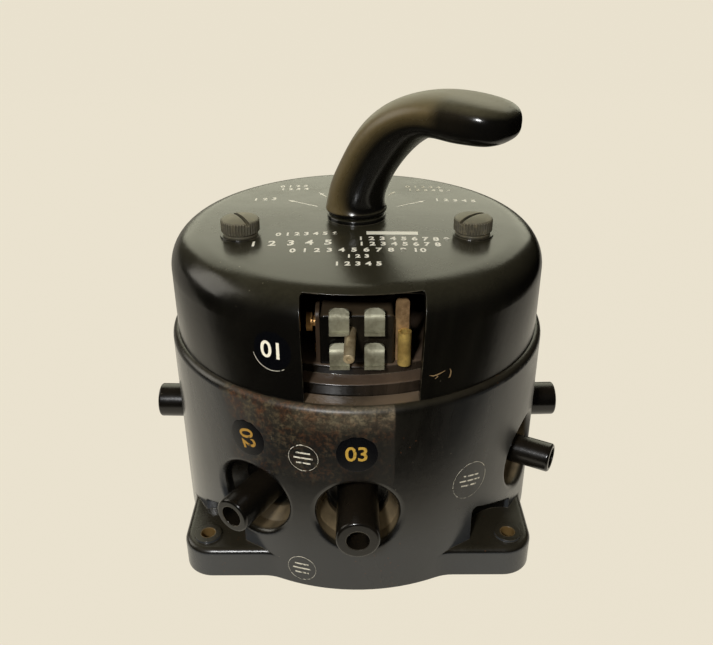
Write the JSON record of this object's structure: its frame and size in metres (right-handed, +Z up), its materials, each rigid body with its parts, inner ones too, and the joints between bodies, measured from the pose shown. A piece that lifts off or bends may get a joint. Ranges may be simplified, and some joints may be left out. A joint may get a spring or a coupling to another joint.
{
  "type": "antenna switch",
  "caption": "Black phenolic aerial selector switch: round base on a square flange with sleeved sockets, deep round cover with a contact window, and a crank handle.",
  "frame": {"origin": "on the mounting face, at the centre of the four fixing holes and on the spindle axis", "axes": "+Z up along the spindle, -Y the front with the window, +X to the right seen from the front"},
  "size_m": [0.1824, 0.1695, 0.1822],
  "materials": {
    "case_moulding": "aged black phenolic moulding, glossy with dust",
    "cover_moulding": "aged black phenolic moulding, dusty top",
    "deck_moulding": "dark brown phenolic",
    "plate_sheet": "laminated phenolic sheet",
    "handle_moulding": "black phenolic, worn to a brown sheen",
    "sleeve_moulding": "black phenolic tube, dusty",
    "block_moulding": "black phenolic block",
    "blackened_brass": "knurled brass, blackened",
    "brass": "turned and sheet brass, tarnished",
    "nickel": "nickel plated, dulled",
    "spring_bronze": "phosphor bronze sheet",
    "steel": "bright steel",
    "insulated_wire": "varnished sleeving over copper"
  },
  "bodies": {
    "case": {"base_housing": "case_moulding", "bottom_plate": "plate_sheet", "bottom_plate_screws": "steel", "contact_deck": "deck_moulding", "deck_screws": "nickel", "cover": "cover_moulding", "cover_pillars": "brass", "upper_bush": "brass", "lower_bush": "brass", "stop_pins": "steel", "detent_spring": "spring_bronze", "detent_post": "brass", "detent_screws": "steel", "contact_clip_1": "spring_bronze", "contact_clip_2": "spring_bronze", "contact_clip_3": "spring_bronze", "contact_clip_4": "spring_bronze", "contact_clip_5": "spring_bronze", "clip_screws": "steel", "common_wiper": "spring_bronze", "socket_tube_left": "sleeve_moulding", "socket_contact_left": "brass", "lead_left": "insulated_wire", "socket_tube_left_front": "sleeve_moulding", "socket_contact_left_front": "brass", "lead_left_front": "insulated_wire", "socket_tube_front": "sleeve_moulding", "socket_contact_front": "brass", "lead_front": "insulated_wire", "socket_tube_right_front": "sleeve_moulding", "socket_contact_right_front": "brass", "lead_right_front": "insulated_wire", "socket_tube_right": "sleeve_moulding", "socket_contact_right": "brass", "lead_right": "insulated_wire", "socket_nuts": "brass", "terminal_block": "block_moulding", "contact_leaves": "nickel", "test_pin": "nickel", "brass_strip": "brass", "brass_sleeve": "brass", "cheek_plate": "plate_sheet", "cheek_screws": "steel", "terminal_screw": "nickel"},
    "rotor": {"handle": "handle_moulding", "handle_pin": "steel", "handle_washer": "nickel", "spindle": "steel", "spindle_circlip": "steel", "rotor_disc": "plate_sheet", "rotor_pins": "steel", "rotor_rivets": "brass", "selector_blade": "spring_bronze", "slip_ring": "spring_bronze", "index_plate": "steel"},
    "left_washer": {"screw_washer_left": "blackened_brass"},
    "right_washer": {"screw_washer_right": "blackened_brass"},
    "left_screw": {"thumbscrew_left": "blackened_brass"},
    "right_screw": {"thumbscrew_right": "blackened_brass"}
  },
  "joints": [
    {"name": "handle_turn", "type": "hinge", "parent": "case", "child": "rotor", "pos_m": [0, 0, 0.133], "axis": [0, 0, 1], "range_deg": [-110, 0], "deforming": ["detent_spring"]},
    {"name": "thumbscrew_left_rise", "type": "slide", "parent": "case", "child": "left_washer", "axis": [0, 0, 1], "range_m": [0, 0.01081]},
    {"name": "thumbscrew_left_turn", "type": "hinge", "parent": "left_washer", "child": "left_screw", "pos_m": [-0.04522, -0.01781, 0.1272], "axis": [0, 0, 1], "range_deg": [0, 3888]},
    {"name": "thumbscrew_right_rise", "type": "slide", "parent": "case", "child": "right_washer", "axis": [0, 0, 1], "range_m": [0, 0.01081]},
    {"name": "thumbscrew_right_turn", "type": "hinge", "parent": "right_washer", "child": "right_screw", "pos_m": [0.04522, -0.01781, 0.1272], "axis": [0, 0, 1], "range_deg": [0, 3888]}
  ],
  "couplings": [
    {"joint": "thumbscrew_left_rise", "follows": "thumbscrew_left_turn", "m_per_rad": 0.00015915},
    {"joint": "thumbscrew_right_rise", "follows": "thumbscrew_right_turn", "m_per_rad": 0.00015915}
  ]
}
